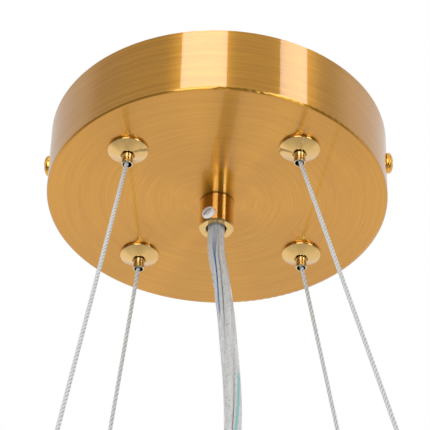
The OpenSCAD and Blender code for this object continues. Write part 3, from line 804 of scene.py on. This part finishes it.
# Finishes
satin = {
    "light": "#e4a436",
    "dark": "#d2922e",
    "roughness": 0.3,
    "waver": (0.06, 0.05),               # how much the fine lines and the blotches change it
    "coatRoughness": 0.045,
    "lines": (2600.0, 1900.0, 260.0),    # three kinds of brush line, to a metre
    "arcs": (4.0, 1.6, 1.0),             # how soon each kind ends as it runs round
    "blotch": 30.0,
    "shares": (0.25, 0.5, 0.15, 0.1),    # of the lines and the blotches in the shade
    "spread": (0.4, 0.6),
    "sway": 0.04,                        # how far a line turns the reflection aside
    "bump": (0.2, 0.02 * mm),
    "plate": -26.2 * mm,                 # below this height the lines are fainter
    "plateShare": 0.5,
}


def satinBrass():
    # brushed round the axis: lines round the wall and arcs on the plate
    finish = newFinish("satin_brass_brushed")
    x, y, z = finish.split(finish.place())
    radius = (x * x + y * y) ** 0.5 + 0.0001         # never 0, because it divides
    around, beside = x / radius, y / radius
    across = radius + z
    layers = []
    for arc, lines in zip(satin["arcs"], satin["lines"]):
        spot = finish.joined(around * arc, beside * arc, across * lines)
        layers.append(finish.noise(spot, 1.0, 3.0, 0.6))
    layers.append(finish.noise(finish.place(), satin["blotch"], 3.0))
    shade = 0.0
    for layer, share in zip(layers, satin["shares"]):
        shade = layer * share + shade
    faint = finish.between(z, satin["plate"], satin["plate"] + mm, satin["plateShare"], 1.0)
    shade = (shade - 0.5) * faint + 0.5
    sway = (layers[1] - 0.5) * faint * satin["sway"]
    aside = finish.joined(0.0 - beside * sway, around * sway, 0.0)
    normal = finish.vector("ADD", finish.bump(layers[0], *satin["bump"]), aside)
    fineWaver, blotchWaver = satin["waver"]
    return finish.surface({
        "Base Color": finish.mixed(finish.between(shade, *satin["spread"]), colour(satin["dark"]),
                                   colour(satin["light"])),
        "Metallic": 1.0,
        "Roughness": satin["roughness"] + fineWaver * (layers[0] - 0.5) + blotchWaver * (layers[3] - 0.5),
        "Anisotropic": 1.0,
        "Anisotropic Rotation": 0.25,
        "Coat Weight": 1.0,
        "Coat Roughness": satin["coatRoughness"],
        "Normal": finish.vector("NORMALIZE", normal),
    })


polished = {
    "light": "#f0c679",
    "dark": "#e3b667",
    "cloud": 180.0,
    "roughness": 0.08,
    "waver": 0.06,
    "lines": 60.0,                       # left by turning, across the piece
    "coatRoughness": 0.03,
    "bump": (0.05, 0.02 * mm),
}
plungerBrass = {
    **polished,
    "light": "#f6e4b6",
    "dark": "#e9d3a0",
    "roughness": 0.2,
    "bore": "#140e08",                   # painted shade inside the tube, where the deep bore falls dark
    "boreEdge": (0.262, 0.278),          # its distance from the axis, as a share of the piece's width
}
gripBrass = {
    **polished,
    "seamShade": "#4a2c0c",                   # painted shade: a dark line at the cord grip's upper edge, where it meets the plate
    "seamShadeHeights": (-27.0 * mm, -26.8 * mm),
}


def polishedBrass(name, brass):
    finish = newFinish(name)
    x, y, z = finish.split(finish.place("Generated"))
    x, y = x - 0.5, y - 0.5
    radius = (x * x + y * y) ** 0.5
    lines = finish.noise(finish.joined(radius * brass["lines"], z * brass["lines"], 0.0), 1.0, 3.0, 0.6)
    cloud = finish.noise(finish.place(), brass["cloud"], 3.0)
    shade = finish.mixed(cloud, colour(brass["dark"]), colour(brass["light"]))
    # painted shade: the inside of the bore is coloured dark
    if "bore" in brass:
        shade = finish.mixed(finish.between(radius, *brass["boreEdge"]), colour(brass["bore"]), shade)
    # painted shade: a dark band at the grip's top, where it meets the plate
    if "seamShade" in brass:
        height = finish.split(finish.place())[2]
        shade = finish.mixed(finish.between(height, *brass["seamShadeHeights"]), shade, colour(brass["seamShade"]))
    return finish.surface({
        "Base Color": shade,
        "Metallic": 1.0,
        "Roughness": brass["roughness"] + brass["waver"] * lines,
        "Coat Weight": 1.0,
        "Coat Roughness": brass["coatRoughness"],
        "Normal": finish.bump(lines, *brass["bump"]),
    })


golden = {
    "light": "#f8ba4a",
    "dark": "#e8a234",
    "cloud": 260.0,
    "roughness": 0.18,
    "waver": 0.1,
    "coat": (0.6, 0.08),                 # its weight and roughness
    "bump": (0.08, 0.03 * mm),
}


def goldenScrew():
    finish = newFinish("golden_screw_lacquered")
    cloud = finish.noise(finish.place(), golden["cloud"], 3.0)
    coatWeight, coatRoughness = golden["coat"]
    return finish.surface({
        "Base Color": finish.mixed(cloud, colour(golden["dark"]), colour(golden["light"])),
        "Metallic": 1.0,
        "Roughness": golden["roughness"] + golden["waver"] * (cloud - 0.5),
        "Coat Weight": coatWeight,
        "Coat Roughness": coatRoughness,
        "Normal": finish.bump(cloud, *golden["bump"]),
    })


metalSkin = {
    "metallic": 1.0,
    "cloud": (4.0, 0.6),                 # detail and roughness of the clouds
    "spread": (0.35, 0.65),
    "finer": 9,                          # how much finer than the clouds its grain is
    "waver": 0.2,
    "bump": (0.1, 0.02 * mm),
}
plasticSkin = {
    "metallic": 0.0,
    "cloud": (3.0, 0.55),
    "finer": 12,
    "waver": 0.1,
    "bump": (0.12, 0.02 * mm),
}
plainFinishes = {
    # name, skin, dark and light colour, roughness, and scale of the clouds
    "zinc_steel": ("zinc_plated_steel", metalSkin, "#a3a7ad", "#d3d6da", 0.3, 140.0),
    "spring_steel": ("drawn_spring_steel", metalSkin, "#85888c", "#b4b7bb", 0.28, 400.0),
    "terminal_brass": ("terminal_brass_plain", metalSkin, "#b08a48", "#cba560", 0.3, 260.0),
    "white_plastic": ("white_moulding", plasticSkin, "#dededa", "#efefec", 0.42, 260.0),
}


def plainFinish(name, skin, dark, light, roughness, scale):
    # clouds over a fine grain, for plated steel and moulded plastic
    finish = newFinish(name)
    cloud = finish.noise(finish.place(), scale, *skin["cloud"])
    fine = finish.noise(finish.place(), scale * skin["finer"], 2.0)
    shade = finish.between(cloud, *skin["spread"]) if "spread" in skin else cloud
    return finish.surface({
        "Base Color": finish.mixed(shade, colour(dark), colour(light)),
        "Metallic": skin["metallic"],
        "Roughness": roughness + skin["waver"] * (cloud - 0.5),
        "Normal": finish.bump(fine, *skin["bump"]),
    })


nylon = {
    "middle": "#d6d4d6",
    # painted sheen: whiter towards the rounded rim, as if it caught the light
    "rim": "#fbf6f6",
    "rimSheenFrom": (1.2, 1.9),               # millimetres from its axis between which the painted rim sheen begins
    "haze": ("#ffffff", 0.3),            # colour and strength of the clouds
    "cloud": 500.0,
    "slot": "#5a5757",                   # painted shade at the slot's foot
    "slotShadeFrom": (0.55, 0.4),             # depths below its outer end between which that begins
    "slotShadeUntil": (1.6, 1.9),             # and distances from its axis between which it ends
    "roughness": 0.18,
    "waver": 0.1,
    "clear": 0.1,
    "bump": (0.1, 0.03 * mm),
}


def nylonFinish():
    # milky, with a painted sheen that whitens it towards its rim, and painted shade at the foot of its
    # slot
    finish = newFinish("nylon_milky")
    angle = math.radians(nylonScrew["turn"])
    facing = (math.cos(angle), math.sin(angle), 0.0)
    middle = (0.0, 0.0, nylonScrew["height"] * mm)
    spot = finish.vector("SUBTRACT", finish.place(), middle)
    along = finish.vector("DOT_PRODUCT", spot, facing, out="Value")
    # the square of the distance from its axis
    away = finish.vector("LENGTH", spot, out="Value") ** 2.0 - along ** 2.0
    end = (nylonScrew["reach"] + nylonScrew["length"]) * mm
    slotShadeFrom = [end - depth * mm for depth in nylon["slotShadeFrom"]]
    slotShadeUntil = [(distance * mm) ** 2 for distance in nylon["slotShadeUntil"]]
    rimSheenFrom = [(distance * mm) ** 2 for distance in nylon["rimSheenFrom"]]
    # painted shade in the slot's recess
    slotShade = finish.between(along, *slotShadeFrom, 1.0, 0.0) * finish.between(away, *slotShadeUntil, 1.0, 0.0)
    # painted sheen, whiter towards the rim
    rim = finish.between(away, *rimSheenFrom)
    cloud = finish.noise(finish.place(), nylon["cloud"], 3.0)
    haze, strength = nylon["haze"]
    milky = finish.mixed(rim, colour(nylon["middle"]), colour(nylon["rim"]))
    milky = finish.mixed(cloud * strength, milky, colour(haze))
    return finish.surface({
        "Base Color": finish.mixed(slotShade, milky, colour(nylon["slot"])),
        "Roughness": nylon["roughness"] + nylon["waver"] * cloud,
        "Transmission Weight": nylon["clear"],
        "Normal": finish.bump(cloud, *nylon["bump"]),
    })


strands = {
    "light": "#ffffff",
    "dark": "#cacac6",
    "litShadedPairs": (-0.5, 0.5),                # edges of the painted lit and shaded strands
    "litShadedShare": 0.75,                   # their share in the shade; the rest is streaks
    "streaks": (40.0, 0.5),              # round the wire, and along it to a millimetre
    # painted shade in the grooves between the strands
    "grooveShade": "#b0b0aa",
    "grooveShadeFrom": (0.08, 0.24),          # square of the distance from a strand's crown, in its widths
    "metallic": 0.05,
    "roughness": 0.3,
    "waver": 0.1,
    "bump": (0.1, 0.02 * mm),
}


def steelStrands():
    finish = newFinish("steel_strands")
    around, along, _ = finish.laid()
    roundIt, alongIt = strands["streaks"]
    streak = finish.noise(finish.joined(around * roundIt, along * alongIt, 0.0), 1.0, 3.0, 0.6)
    # painted light and shade: every other strand lighter, as if it caught the light
    litShadedPairs = finish.maths("COSINE", around * turn * (wire["strands"] / 2))
    shade = finish.between(litShadedPairs, *strands["litShadedPairs"]) * strands["litShadedShare"]
    shade = shade + streak * (1 - strands["litShadedShare"])
    crown = finish.mixed(shade, colour(strands["dark"]), colour(strands["light"]))
    # painted shade in the grooves between the strands
    beside = finish.maths("FRACT", around * float(wire["strands"])) - 0.5
    grooveShade = finish.between(beside ** 2.0, *strands["grooveShadeFrom"])
    return finish.surface({
        "Base Color": finish.mixed(grooveShade, crown, colour(strands["grooveShade"])),
        "Metallic": strands["metallic"],
        "Roughness": strands["roughness"] + strands["waver"] * (streak - 0.5),
        "Normal": finish.bump(streak, *strands["bump"]),
    })


sheath = {
    "colours": ("#f4f6f8", "#ffffff"),
    "ripple": 220.0,
    "roughness": 0.06,
    "waver": 0.06,
    "bending": 1.3,                      # index of refraction
    "bump": (0.06, 0.2 * mm),
}


def clearSheath():
    finish = newFinish("clear_sheath")
    ripple = finish.noise(finish.place(), sheath["ripple"], 2.0)
    return finish.surface({
        "Base Color": finish.mixed(ripple, *[colour(code) for code in sheath["colours"]]),
        "Roughness": sheath["roughness"] + sheath["waver"] * ripple,
        "IOR": sheath["bending"],
        "Transmission Weight": 1.0,
        "Normal": finish.bump(ripple, *sheath["bump"]),
    })


cores = {
    "light": "#ffffff",
    "dark": "#ebe8e4",
    "spread": (0.35, 0.65),
    "spiral": 0.1,                       # how far the braid turns to a millimetre, in radians
    "braid": (2.5, 0.06),                # how often its shade changes round a core, and along it
    "braidFiner": 3.2,                   # how much finer its second shade is
    "braidShare": 0.55,                  # of the first shade
    "strandGapShade": "#8f8d8c",                  # painted shade between the tinned strands
    "strandGapShades": (9.0, 0.9),                # how often, round a core and along it
    "strandGapShadeFrom": (0.56, 0.68),
    "tracerWidths": (0.14, 0.032),       # half of it as a share of the core's girth, at the grip and lower
    "tracerShow": (0.3, 1.0),
    "tracerFade": (22.0, 38.0),          # millimetres below the sheath's top
    "tracerEdge": (0.5, 1.5),            # where its colour ends, as a square of that half
    "tracerEnds": 3.0,                   # millimetres over which one dips under the strands
    "tracers": {
        # colour, its place from the outer side in degrees, its drift to a millimetre,
        # where it runs under the strands, in millimetres, and its share of the width
        "neutral": ("#3f78bb", -5.5, 1.25, (58.0, 112.0), 1.0),
        "earth": ("#a3dcd9", -63.0, 0.0, (30.0, 82.0), 1.9),
        "live": ("#c9b3ae", 0.0, 0.0, (40.0, 115.0), 1.0),
    },
    "roughness": 0.35,
    "bump": (0.3, 0.1 * mm),
}


def coreFinish(name, tracer):
    # tinned strands with painted shade between them, and one coloured tracer thread
    code, place, drift, (dips, rises), share = tracer
    finish = newFinish(f"{name}_core_tinned")
    around, along, _ = finish.laid()
    angle = around * turn + along * cores["spiral"]
    roundIt, alongIt = cores["braid"]
    braid = finish.circle(angle, roundIt, along * alongIt)
    twist = finish.noise(braid, 1.0, 3.0, 0.6) * cores["braidShare"]
    twist = twist + finish.noise(braid, cores["braidFiner"], 2.0) * (1 - cores["braidShare"])
    base = finish.mixed(finish.between(twist, *cores["spread"]), colour(cores["dark"]),
                        colour(cores["light"]))
    roundIt, alongIt = cores["strandGapShades"]
    # painted shade between the tinned strands
    strand = finish.noise(finish.circle(angle, roundIt, along * alongIt), 1.0, 2.0, 0.7)
    base = finish.mixed(finish.between(strand, *cores["strandGapShadeFrom"]), base, colour(cores["strandGapShade"]))
    # turns from the tracer's middle, half of one at most
    aside = finish.maths("FRACT", around + along * (drift / 360) + (place / 360 + 1.5)) - 0.5
    width = share * finish.between(along, *cores["tracerFade"], *cores["tracerWidths"])
    stripe = finish.between(aside ** 2.0 / width ** 2.0, *cores["tracerEdge"], 1.0, 0.0)
    stripe = stripe * finish.between(along, *cores["tracerFade"], *cores["tracerShow"])
    ends = cores["tracerEnds"]
    above = finish.between(along, dips - ends, dips + ends, 1.0, 0.0)
    above = above + finish.between(along, rises - ends, rises + ends)
    return finish.surface({
        "Base Color": finish.mixed(stripe * above, base, colour(code)),
        "Roughness": cores["roughness"],
        "Normal": finish.bump(twist, *cores["bump"]),
    })


finishes = {
    "satin_brass": satinBrass(),
    "polished_brass": polishedBrass("polished_brass_turned", polished),
    "plunger_brass": polishedBrass("plunger_brass_turned", plungerBrass),
    "grip_brass": polishedBrass("cord_grip_brass_turned", gripBrass),
    "golden_screw": goldenScrew(),
    "steel_wire": steelStrands(),
    "clear_nylon": nylonFinish(),
    "clear_pvc": clearSheath(),
}
for slot, values in plainFinishes.items():
    finishes[slot] = plainFinish(*values)
for name, tracer in cores["tracers"].items():
    finishes[f"{name}_core"] = coreFinish(name, tracer)
for name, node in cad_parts.items():
    look = node.data.materials[0].name.split(".")[0]     # a CAD node's material has its slot's name
    if name.endswith("gripper_plunger"):
        look = "plunger_brass"
    if name == "cord_grip_body":
        look = "grip_brass"
    if look in finishes:
        node.data.materials[0] = finishes[look]
for name, look in looks.items():
    bpy.data.objects[name].data.materials.append(finishes[look])
print("finishes set")
